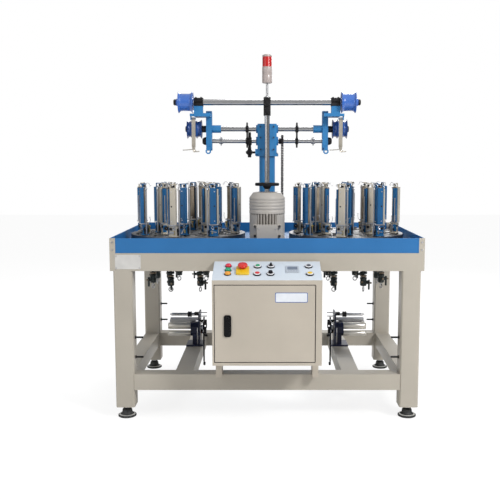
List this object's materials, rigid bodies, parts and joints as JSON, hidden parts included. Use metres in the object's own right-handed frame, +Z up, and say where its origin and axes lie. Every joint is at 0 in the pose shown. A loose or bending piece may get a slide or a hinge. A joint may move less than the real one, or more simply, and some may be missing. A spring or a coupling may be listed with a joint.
{
  "type": "rope braiding machine",
  "caption": "Floor-standing rope braiding machine with braiding heads of bobbin carriers, take-up tower, motor and sloped control cabinet.",
  "frame": {"origin": "on the floor below the middle of the whole machine", "axes": "+Z up, the control cabinet faces -Y, +X to the viewer's right when facing the cabinet"},
  "size_m": [1.47, 1.156, 1.758],
  "materials": {
    "beige_paint": "satin powder coat",
    "blue_paint": "semi-gloss powder coat",
    "wheel_blue": "gloss enamel",
    "machined_steel": "ground and plated",
    "carrier_paint": "blue or silver carriers",
    "dark_steel": "blackened",
    "navy_paint": "dark blue enamel",
    "motor_paint": "grey-beige enamel",
    "black_plastic": "fine moulded texture",
    "red_plastic": "moulded",
    "green_plastic": "moulded",
    "white_plastic": "moulded",
    "yellow_plastic": "moulded"
  },
  "bodies": {
    "root": {"cabinet": "beige_paint", "centre_post": "machined_steel", "deck_tray": "blue_paint", "drive_chain": "dark_steel", "end_bracket_left": "blue_paint", "end_bracket_right": "blue_paint", "fan_cowl": "motor_paint", "feed_bracket_left": "navy_paint", "feed_bracket_right": "navy_paint", "foot_front_left": "dark_steel", "foot_front_right": "dark_steel", "foot_rear_left": "dark_steel", "foot_rear_right": "dark_steel", "frame": "beige_paint", "gearbox_housing": "blue_paint", "motor_body": "motor_paint", "signal_lamp": "red_plastic", "top_tube": "machined_steel", "tower_column": "blue_paint", "track_plate_left": "machined_steel", "track_plate_right": "machined_steel"},
    "horn_gear_left_1": {"horn_gear_left_1": "carrier_paint"},
    "horn_gear_left_2": {"horn_gear_left_2": "carrier_paint"},
    "horn_gear_left_3": {"horn_gear_left_3": "carrier_paint"},
    "horn_gear_left_4": {"horn_gear_left_4": "carrier_paint"},
    "horn_gear_left_5": {"horn_gear_left_5": "carrier_paint"},
    "horn_gear_left_6": {"horn_gear_left_6": "carrier_paint"},
    "horn_gear_left_7": {"horn_gear_left_7": "carrier_paint"},
    "horn_gear_left_8": {"horn_gear_left_8": "carrier_paint"},
    "horn_gear_right_1": {"horn_gear_right_1": "carrier_paint"},
    "horn_gear_right_2": {"horn_gear_right_2": "carrier_paint"},
    "horn_gear_right_3": {"horn_gear_right_3": "carrier_paint"},
    "horn_gear_right_4": {"horn_gear_right_4": "carrier_paint"},
    "horn_gear_right_5": {"horn_gear_right_5": "carrier_paint"},
    "horn_gear_right_6": {"horn_gear_right_6": "carrier_paint"},
    "horn_gear_right_7": {"horn_gear_right_7": "carrier_paint"},
    "horn_gear_right_8": {"horn_gear_right_8": "carrier_paint"},
    "handwheel": {"handwheel": "black_plastic"},
    "lower_shaft": {"lower_shaft": "machined_steel"},
    "upper_shaft": {"upper_shaft": "machined_steel", "capstan_left": "wheel_blue", "capstan_right": "wheel_blue"},
    "gearbox_pinion": {"gearbox_pinion": "dark_steel"},
    "cabinet_door": {"cabinet_door": "beige_paint"},
    "door_latch": {"door_latch": "black_plastic"},
    "guide_wheel_left": {"guide_wheel_left": "wheel_blue"},
    "stop_lever_left": {"stop_lever_left": "machined_steel"},
    "feed_roller_left": {"feed_roller_left": "machined_steel"},
    "nip_roller_left": {"nip_roller_left": "machined_steel"},
    "guide_wheel_right": {"guide_wheel_right": "wheel_blue"},
    "stop_lever_right": {"stop_lever_right": "machined_steel"},
    "feed_roller_right": {"feed_roller_right": "machined_steel"},
    "nip_roller_right": {"nip_roller_right": "machined_steel"},
    "emergency_stop": {"emergency_stop": "red_plastic"},
    "start_button": {"start_button": "green_plastic"},
    "stop_button": {"stop_button": "red_plastic"},
    "selector_switch": {"selector_switch": "black_plastic"},
    "speed_knob": {"speed_knob": "black_plastic"},
    "white_button": {"white_button": "white_plastic"},
    "yellow_button": {"yellow_button": "yellow_plastic"}
  },
  "joints": [
    {"name": "head_drive", "type": "hinge", "parent": "root", "child": "horn_gear_left_1", "pos_m": [-0.23293, 0.174, 0.8513], "axis": [0, 0, 1], "continuous": true},
    {"name": "horn_gear_left_2_turn", "type": "hinge", "parent": "root", "child": "horn_gear_left_2", "pos_m": [-0.339, 0.28007, 0.8513], "axis": [0, 0, 1], "continuous": true},
    {"name": "horn_gear_left_3_turn", "type": "hinge", "parent": "root", "child": "horn_gear_left_3", "pos_m": [-0.489, 0.28007, 0.8513], "axis": [0, 0, 1], "continuous": true},
    {"name": "horn_gear_left_4_turn", "type": "hinge", "parent": "root", "child": "horn_gear_left_4", "pos_m": [-0.59507, 0.174, 0.8513], "axis": [0, 0, 1], "continuous": true},
    {"name": "horn_gear_left_5_turn", "type": "hinge", "parent": "root", "child": "horn_gear_left_5", "pos_m": [-0.59507, 0.024, 0.8513], "axis": [0, 0, 1], "continuous": true},
    {"name": "horn_gear_left_6_turn", "type": "hinge", "parent": "root", "child": "horn_gear_left_6", "pos_m": [-0.489, -0.08207, 0.8513], "axis": [0, 0, 1], "continuous": true},
    {"name": "horn_gear_left_7_turn", "type": "hinge", "parent": "root", "child": "horn_gear_left_7", "pos_m": [-0.339, -0.08207, 0.8513], "axis": [0, 0, 1], "continuous": true},
    {"name": "horn_gear_left_8_turn", "type": "hinge", "parent": "root", "child": "horn_gear_left_8", "pos_m": [-0.23293, 0.024, 0.8513], "axis": [0, 0, 1], "continuous": true},
    {"name": "horn_gear_right_1_turn", "type": "hinge", "parent": "root", "child": "horn_gear_right_1", "pos_m": [0.59507, 0.174, 0.8513], "axis": [0, 0, 1], "continuous": true},
    {"name": "horn_gear_right_2_turn", "type": "hinge", "parent": "root", "child": "horn_gear_right_2", "pos_m": [0.489, 0.28007, 0.8513], "axis": [0, 0, 1], "continuous": true},
    {"name": "horn_gear_right_3_turn", "type": "hinge", "parent": "root", "child": "horn_gear_right_3", "pos_m": [0.339, 0.28007, 0.8513], "axis": [0, 0, 1], "continuous": true},
    {"name": "horn_gear_right_4_turn", "type": "hinge", "parent": "root", "child": "horn_gear_right_4", "pos_m": [0.23293, 0.174, 0.8513], "axis": [0, 0, 1], "continuous": true},
    {"name": "horn_gear_right_5_turn", "type": "hinge", "parent": "root", "child": "horn_gear_right_5", "pos_m": [0.23293, 0.024, 0.8513], "axis": [0, 0, 1], "continuous": true},
    {"name": "horn_gear_right_6_turn", "type": "hinge", "parent": "root", "child": "horn_gear_right_6", "pos_m": [0.339, -0.08207, 0.8513], "axis": [0, 0, 1], "continuous": true},
    {"name": "horn_gear_right_7_turn", "type": "hinge", "parent": "root", "child": "horn_gear_right_7", "pos_m": [0.489, -0.08207, 0.8513], "axis": [0, 0, 1], "continuous": true},
    {"name": "horn_gear_right_8_turn", "type": "hinge", "parent": "root", "child": "horn_gear_right_8", "pos_m": [0.59507, 0.024, 0.8513], "axis": [0, 0, 1], "continuous": true},
    {"name": "handwheel_turn", "type": "hinge", "parent": "root", "child": "handwheel", "pos_m": [0, -0.176, 1.112], "axis": [0, 0, 1], "continuous": true},
    {"name": "lower_shaft_turn", "type": "hinge", "parent": "root", "child": "lower_shaft", "pos_m": [0, 0.104, 1.329], "axis": [1, 0, 0], "continuous": true},
    {"name": "upper_shaft_turn", "type": "hinge", "parent": "root", "child": "upper_shaft", "pos_m": [0, 0.104, 1.391], "axis": [1, 0, 0], "continuous": true},
    {"name": "pinion_turn", "type": "hinge", "parent": "root", "child": "gearbox_pinion", "pos_m": [-0.091, 0.07409, 1.27031], "axis": [1, 0, 0], "continuous": true},
    {"name": "feed_roller_left_turn", "type": "hinge", "parent": "root", "child": "feed_roller_left", "pos_m": [-0.48, 0.219, 0.322], "axis": [1, 0, 0], "continuous": true},
    {"name": "nip_roller_left_turn", "type": "hinge", "parent": "root", "child": "nip_roller_left", "pos_m": [-0.48, 0.199, 0.284], "axis": [1, 0, 0], "continuous": true},
    {"name": "guide_wheel_left_turn", "type": "hinge", "parent": "root", "child": "guide_wheel_left", "pos_m": [-0.42, 0.019, 1.521], "axis": [1, 0, 0], "continuous": true},
    {"name": "stop_lever_left_swing", "type": "hinge", "parent": "root", "child": "stop_lever_left", "pos_m": [-0.3757, 0.024, 1.44], "axis": [1, 0, 0], "range_deg": [-20, 5]},
    {"name": "feed_roller_right_turn", "type": "hinge", "parent": "root", "child": "feed_roller_right", "pos_m": [0.48, 0.219, 0.322], "axis": [1, 0, 0], "continuous": true},
    {"name": "nip_roller_right_turn", "type": "hinge", "parent": "root", "child": "nip_roller_right", "pos_m": [0.48, 0.199, 0.284], "axis": [1, 0, 0], "continuous": true},
    {"name": "guide_wheel_right_turn", "type": "hinge", "parent": "root", "child": "guide_wheel_right", "pos_m": [0.42, 0.019, 1.521], "axis": [1, 0, 0], "continuous": true},
    {"name": "stop_lever_right_swing", "type": "hinge", "parent": "root", "child": "stop_lever_right", "pos_m": [0.3757, 0.024, 1.44], "axis": [1, 0, 0], "range_deg": [-20, 5]},
    {"name": "cabinet_door_swing", "type": "hinge", "parent": "root", "child": "cabinet_door", "pos_m": [0.213, -0.566, 0.5], "axis": [0, 0, 1], "range_deg": [0, 120]},
    {"name": "door_latch_turn", "type": "hinge", "parent": "cabinet_door", "child": "door_latch", "pos_m": [-0.176, -0.566, 0.526], "axis": [0, 1, 0], "range_deg": [0, 90]},
    {"name": "emergency_stop_press", "type": "slide", "parent": "root", "child": "emergency_stop", "axis": [0, 0.3194, -0.9476], "range_m": [0, 0.005], "stiffness_N_per_m": 800, "springref_m": -0.002},
    {"name": "start_button_press", "type": "slide", "parent": "root", "child": "start_button", "axis": [0, 0.3194, -0.9476], "range_m": [0, 0.004], "stiffness_N_per_m": 400, "springref_m": -0.002},
    {"name": "stop_button_press", "type": "slide", "parent": "root", "child": "stop_button", "axis": [0, 0.3194, -0.9476], "range_m": [0, 0.004], "stiffness_N_per_m": 400, "springref_m": -0.002},
    {"name": "selector_switch_turn", "type": "hinge", "parent": "root", "child": "selector_switch", "pos_m": [0.0173, -0.4414, 0.742], "axis": [0, -0.3194, 0.9476], "range_deg": [-45, 45]},
    {"name": "speed_knob_turn", "type": "hinge", "parent": "root", "child": "speed_knob", "pos_m": [0.0153, -0.5126, 0.718], "axis": [0, -0.3194, 0.9476], "range_deg": [0, 270]},
    {"name": "white_button_press", "type": "slide", "parent": "root", "child": "white_button", "axis": [0, 0.3194, -0.9476], "range_m": [0, 0.004], "stiffness_N_per_m": 400, "springref_m": -0.002},
    {"name": "yellow_button_press", "type": "slide", "parent": "root", "child": "yellow_button", "axis": [0, 0.3194, -0.9476], "range_m": [0, 0.004], "stiffness_N_per_m": 400, "springref_m": -0.002}
  ],
  "couplings": [
    {"joint": "horn_gear_left_2_turn", "follows": "head_drive", "ratio": -1},
    {"joint": "horn_gear_left_3_turn", "follows": "head_drive", "ratio": 1},
    {"joint": "horn_gear_left_4_turn", "follows": "head_drive", "ratio": -1},
    {"joint": "horn_gear_left_5_turn", "follows": "head_drive", "ratio": 1},
    {"joint": "horn_gear_left_6_turn", "follows": "head_drive", "ratio": -1},
    {"joint": "horn_gear_left_7_turn", "follows": "head_drive", "ratio": 1},
    {"joint": "horn_gear_left_8_turn", "follows": "head_drive", "ratio": -1},
    {"joint": "horn_gear_right_1_turn", "follows": "head_drive", "ratio": 1},
    {"joint": "horn_gear_right_2_turn", "follows": "head_drive", "ratio": -1},
    {"joint": "horn_gear_right_3_turn", "follows": "head_drive", "ratio": 1},
    {"joint": "horn_gear_right_4_turn", "follows": "head_drive", "ratio": -1},
    {"joint": "horn_gear_right_5_turn", "follows": "head_drive", "ratio": 1},
    {"joint": "horn_gear_right_6_turn", "follows": "head_drive", "ratio": -1},
    {"joint": "horn_gear_right_7_turn", "follows": "head_drive", "ratio": 1},
    {"joint": "horn_gear_right_8_turn", "follows": "head_drive", "ratio": -1},
    {"joint": "handwheel_turn", "follows": "head_drive", "ratio": 6},
    {"joint": "lower_shaft_turn", "follows": "head_drive", "ratio": 0.25},
    {"joint": "upper_shaft_turn", "follows": "head_drive", "ratio": -0.25},
    {"joint": "pinion_turn", "follows": "head_drive", "ratio": -0.45833},
    {"joint": "feed_roller_left_turn", "follows": "head_drive", "ratio": 0.25},
    {"joint": "feed_roller_right_turn", "follows": "head_drive", "ratio": 0.25}
  ]
}
